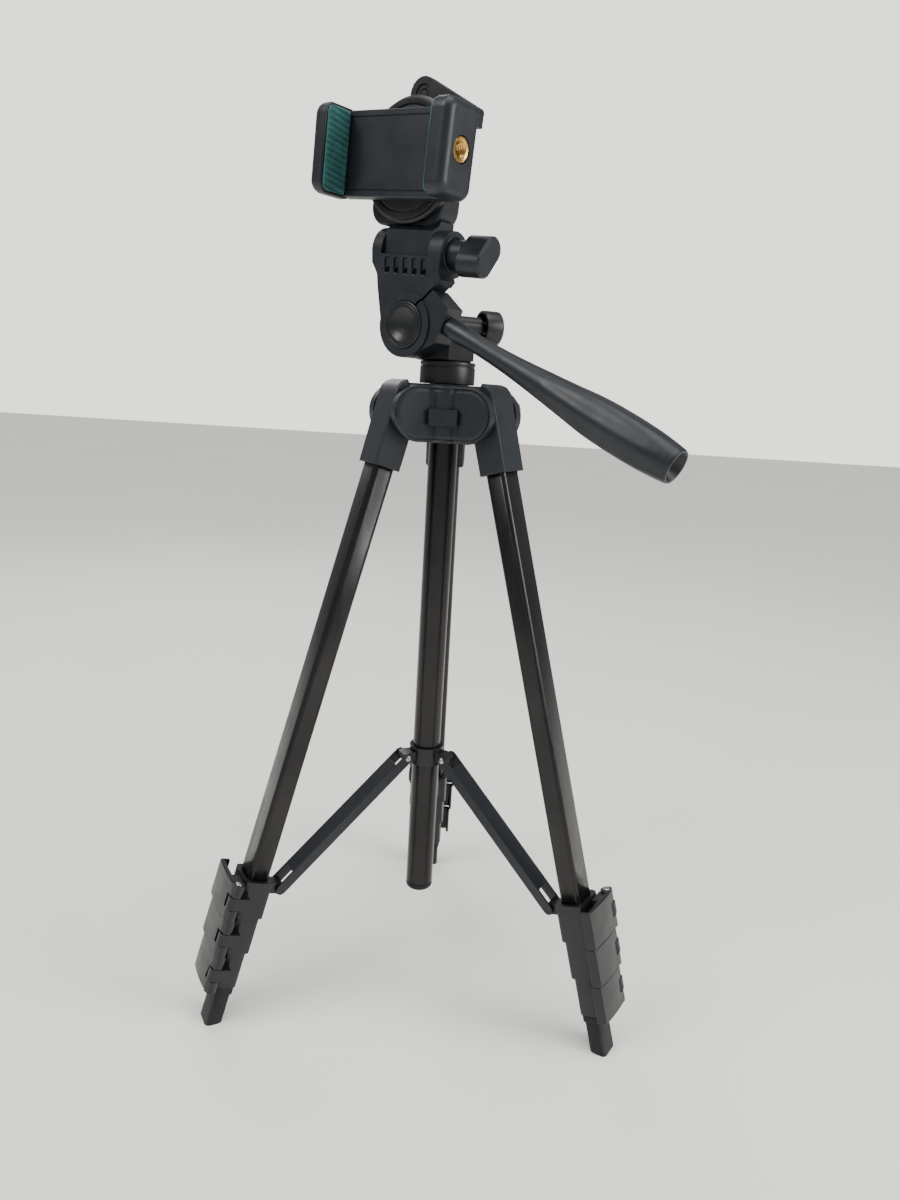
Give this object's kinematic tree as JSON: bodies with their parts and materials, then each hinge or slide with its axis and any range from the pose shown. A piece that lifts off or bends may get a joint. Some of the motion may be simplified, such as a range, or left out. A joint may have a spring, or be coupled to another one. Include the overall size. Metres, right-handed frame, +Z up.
{
  "type": "phone tripod with pan and tilt head",
  "caption": "Lightweight folding travel tripod with telescoping legs, flip locks, leg spreader, pan and tilt head with handle, and a spring phone clip.",
  "frame": {"origin": "middle of the footprint box on the floor the feet stand on", "axes": "+Z up along the column; the legs stand at azimuths 210, 330 and 90 degrees; +Y towards the back leg"},
  "size_m": [0.231, 0.2256, 0.4748],
  "materials": {
    "charcoal_plastic": "moulded charcoal nylon, fine satin grain",
    "black_plastic": "moulded black plastic, satin",
    "anodised_tube": "black anodised aluminium, smooth",
    "black_rubber": "matt black rubber",
    "teal_rubber": "dark teal ribbed rubber",
    "brass": "turned brass, bright",
    "steel": "zinc-plated steel, satin"
  },
  "bodies": {
    "hub": {"hub_body": "charcoal_plastic"},
    "column": {"column_tube": "anodised_tube", "column_end_cap": "black_rubber", "pan_base": "black_plastic"},
    "column_lock": {"column_lock_knob": "black_rubber"},
    "ring": {"spreader_ring": "black_plastic"},
    "leg_left": {"leg_shoulder_left": "charcoal_plastic", "leg_tube_1_left": "anodised_tube", "lock_collar_1_left": "black_plastic"},
    "section2_left": {"leg_tube_2_left": "anodised_tube", "lock_collar_2_left": "black_plastic"},
    "section3_left": {"leg_tube_3_left": "anodised_tube", "lock_collar_3_left": "black_plastic"},
    "section4_left": {"leg_tube_4_left": "anodised_tube", "foot_left": "black_rubber"},
    "lever1_left": {"flip_lever_1_left": "black_plastic"},
    "lever2_left": {"flip_lever_2_left": "black_plastic"},
    "lever3_left": {"flip_lever_3_left": "black_plastic"},
    "arm_left": {"spreader_arm_left": "charcoal_plastic"},
    "leg_right": {"leg_shoulder_right": "charcoal_plastic", "leg_tube_1_right": "anodised_tube", "lock_collar_1_right": "black_plastic"},
    "section2_right": {"leg_tube_2_right": "anodised_tube", "lock_collar_2_right": "black_plastic"},
    "section3_right": {"leg_tube_3_right": "anodised_tube", "lock_collar_3_right": "black_plastic"},
    "section4_right": {"leg_tube_4_right": "anodised_tube", "foot_right": "black_rubber"},
    "lever1_right": {"flip_lever_1_right": "black_plastic"},
    "lever2_right": {"flip_lever_2_right": "black_plastic"},
    "lever3_right": {"flip_lever_3_right": "black_plastic"},
    "arm_right": {"spreader_arm_right": "charcoal_plastic"},
    "leg_back": {"leg_shoulder_back": "charcoal_plastic", "leg_tube_1_back": "anodised_tube", "lock_collar_1_back": "black_plastic"},
    "section2_back": {"leg_tube_2_back": "anodised_tube", "lock_collar_2_back": "black_plastic"},
    "section3_back": {"leg_tube_3_back": "anodised_tube", "lock_collar_3_back": "black_plastic"},
    "section4_back": {"leg_tube_4_back": "anodised_tube", "foot_back": "black_rubber"},
    "lever1_back": {"flip_lever_1_back": "black_plastic"},
    "lever2_back": {"flip_lever_2_back": "black_plastic"},
    "lever3_back": {"flip_lever_3_back": "black_plastic"},
    "arm_back": {"spreader_arm_back": "charcoal_plastic"},
    "pan": {"pan_block": "black_plastic"},
    "pan_lock": {"pan_lock_knob": "black_plastic"},
    "tilt": {"tilt_body": "charcoal_plastic", "tilt_axle_cap": "charcoal_plastic"},
    "handle": {"pan_handle": "charcoal_plastic"},
    "flip": {"flip_platform": "charcoal_plastic", "quick_release_plate": "black_plastic", "camera_screw": "steel", "clip_body": "charcoal_plastic", "fixed_jaw_pad": "teal_rubber"},
    "flip_lock": {"flip_lock_knob": "charcoal_plastic"},
    "release": {"quick_release_lever": "black_plastic"},
    "jaw": {"clip_sliding_jaw": "charcoal_plastic", "sliding_jaw_pad": "teal_rubber", "thread_insert": "brass"}
  },
  "joints": [
    {"name": "column_lift", "type": "slide", "parent": "hub", "child": "column", "axis": [0, 0, 1], "range_m": [0, 0.2]},
    {"name": "column_lock_turn", "type": "hinge", "parent": "hub", "child": "column_lock", "pos_m": [0.00022, -0.01379, 0.32298], "axis": [0.866, 0.5, 0], "range_deg": [0, 270]},
    {"name": "spreader_ring_rise", "type": "slide", "parent": "hub", "child": "ring", "axis": [0, 0, 1], "range_m": [0, 0.0245]},
    {"name": "leg_fold_left", "type": "hinge", "parent": "hub", "child": "leg_left", "pos_m": [-0.01883, -0.02479, 0.31998], "axis": [0.5, -0.866, 0], "range_deg": [0, 16.05]},
    {"name": "section2_extend_left", "type": "slide", "parent": "leg_left", "child": "section2_left", "axis": [-0.2394, -0.1382, -0.961], "range_m": [0, 0.19]},
    {"name": "section3_extend_left", "type": "slide", "parent": "section2_left", "child": "section3_left", "axis": [-0.2394, -0.1382, -0.961], "range_m": [0, 0.19]},
    {"name": "section4_extend_left", "type": "slide", "parent": "section3_left", "child": "section4_left", "axis": [-0.2394, -0.1382, -0.961], "range_m": [0, 0.19]},
    {"name": "lever1_flip_left", "type": "hinge", "parent": "leg_left", "child": "lever1_left", "pos_m": [-0.09001, -0.08032, 0.07323], "axis": [0.2394, 0.1382, 0.961], "range_deg": [0, 95]},
    {"name": "lever2_flip_left", "type": "hinge", "parent": "section2_left", "child": "lever2_left", "pos_m": [-0.0945, -0.08164, 0.05342], "axis": [0.2394, 0.1382, 0.961], "range_deg": [0, 95]},
    {"name": "lever3_flip_left", "type": "hinge", "parent": "section3_left", "child": "lever3_left", "pos_m": [-0.099, -0.08297, 0.03361], "axis": [0.2394, 0.1382, 0.961], "range_deg": [0, 95]},
    {"name": "spreader_arm_fold_left", "type": "hinge", "parent": "ring", "child": "arm_left", "pos_m": [-0.01156, -0.02059, 0.13388], "axis": [0.5, -0.866, 0], "range_deg": [0, 48.58]},
    {"name": "leg_fold_right", "type": "hinge", "parent": "hub", "child": "leg_right", "pos_m": [0.01927, -0.02479, 0.31998], "axis": [0.5, 0.866, 0], "range_deg": [0, 16.05]},
    {"name": "section2_extend_right", "type": "slide", "parent": "leg_right", "child": "section2_right", "axis": [0.2394, -0.1382, -0.961], "range_m": [0, 0.19]},
    {"name": "section3_extend_right", "type": "slide", "parent": "section2_right", "child": "section3_right", "axis": [0.2394, -0.1382, -0.961], "range_m": [0, 0.19]},
    {"name": "section4_extend_right", "type": "slide", "parent": "section3_right", "child": "section4_right", "axis": [0.2394, -0.1382, -0.961], "range_m": [0, 0.19]},
    {"name": "lever1_flip_right", "type": "hinge", "parent": "leg_right", "child": "lever1_right", "pos_m": [0.10295, -0.05867, 0.07323], "axis": [-0.2394, 0.1382, 0.961], "range_deg": [0, 95]},
    {"name": "lever2_flip_right", "type": "hinge", "parent": "section2_right", "child": "lever2_right", "pos_m": [0.10635, -0.0619, 0.05342], "axis": [-0.2394, 0.1382, 0.961], "range_deg": [0, 95]},
    {"name": "lever3_flip_right", "type": "hinge", "parent": "section3_right", "child": "lever3_right", "pos_m": [0.10974, -0.06513, 0.03361], "axis": [-0.2394, 0.1382, 0.961], "range_deg": [0, 95]},
    {"name": "spreader_arm_fold_right", "type": "hinge", "parent": "ring", "child": "arm_right", "pos_m": [0.012, -0.02059, 0.13388], "axis": [0.5, 0.866, 0], "range_deg": [0, 48.58]},
    {"name": "leg_fold_back", "type": "hinge", "parent": "hub", "child": "leg_back", "pos_m": [0.00022, 0.00821, 0.31998], "axis": [-1, 0, 0], "range_deg": [0, 16.05]},
    {"name": "section2_extend_back", "type": "slide", "parent": "leg_back", "child": "section2_back", "axis": [0, 0.2765, -0.961], "range_m": [0, 0.19]},
    {"name": "section3_extend_back", "type": "slide", "parent": "section2_back", "child": "section3_back", "axis": [0, 0.2765, -0.961], "range_m": [0, 0.19]},
    {"name": "section4_extend_back", "type": "slide", "parent": "section3_back", "child": "section4_back", "axis": [0, 0.2765, -0.961], "range_m": [0, 0.19]},
    {"name": "lever1_flip_back", "type": "hinge", "parent": "leg_back", "child": "lever1_back", "pos_m": [-0.01228, 0.09762, 0.07323], "axis": [0, -0.2765, 0.961], "range_deg": [0, 95]},
    {"name": "lever2_flip_back", "type": "hinge", "parent": "section2_back", "child": "lever2_back", "pos_m": [-0.01118, 0.10217, 0.05342], "axis": [0, -0.2765, 0.961], "range_deg": [0, 95]},
    {"name": "lever3_flip_back", "type": "hinge", "parent": "section3_back", "child": "lever3_back", "pos_m": [-0.01008, 0.10673, 0.03361], "axis": [0, -0.2765, 0.961], "range_deg": [0, 95]},
    {"name": "spreader_arm_fold_back", "type": "hinge", "parent": "ring", "child": "arm_back", "pos_m": [0.00022, -0.00019, 0.13388], "axis": [-1, 0, 0], "range_deg": [0, 48.58]},
    {"name": "head_pan", "type": "hinge", "parent": "column", "child": "pan", "pos_m": [0.00022, -0.01379, 0.34578], "axis": [0, 0, 1], "continuous": true},
    {"name": "pan_lock_turn", "type": "hinge", "parent": "pan", "child": "pan_lock", "pos_m": [0.00022, -0.01379, 0.36378], "axis": [0.9063, 0.4226, 0], "range_deg": [0, 270]},
    {"name": "head_tilt", "type": "hinge", "parent": "pan", "child": "tilt", "pos_m": [-0.00838, -0.00777, 0.36178], "axis": [0.5736, 0.8192, 0], "range_deg": [-75, 12]},
    {"name": "handle_turn", "type": "hinge", "parent": "tilt", "child": "handle", "pos_m": [0.00074, -0.03527, 0.36135], "axis": [0.7472, -0.5232, -0.4099], "range_deg": [0, 270]},
    {"name": "platform_flip", "type": "hinge", "parent": "tilt", "child": "flip", "pos_m": [-0.01278, -0.01933, 0.39635], "axis": [0.816, -0.5714, -0.0872], "range_deg": [-90, 0]},
    {"name": "flip_lock_turn", "type": "hinge", "parent": "tilt", "child": "flip_lock", "pos_m": [0.00354, -0.03076, 0.39461], "axis": [0.816, -0.5714, -0.0872], "range_deg": [0, 270]},
    {"name": "release_open", "type": "hinge", "parent": "flip", "child": "release", "pos_m": [-0.01864, -0.02011, 0.4671], "axis": [-0.5736, -0.8192, 0], "range_deg": [0, 35]},
    {"name": "clip_open", "type": "slide", "parent": "flip", "child": "jaw", "axis": [0.816, -0.5714, -0.0872], "range_m": [0, 0.025], "stiffness_N_per_m": 300, "springref_m": -0.01}
  ],
  "couplings": [
    {"joint": "spreader_arm_fold_left", "follows": "leg_fold_left", "ratio": 3.0079},
    {"joint": "leg_fold_right", "follows": "leg_fold_left", "ratio": 1},
    {"joint": "spreader_arm_fold_right", "follows": "leg_fold_left", "ratio": 3.0079},
    {"joint": "leg_fold_back", "follows": "leg_fold_left", "ratio": 1},
    {"joint": "spreader_arm_fold_back", "follows": "leg_fold_left", "ratio": 3.0079},
    {"joint": "spreader_ring_rise", "follows": "leg_fold_left", "m_per_rad": 0.085673}
  ]
}
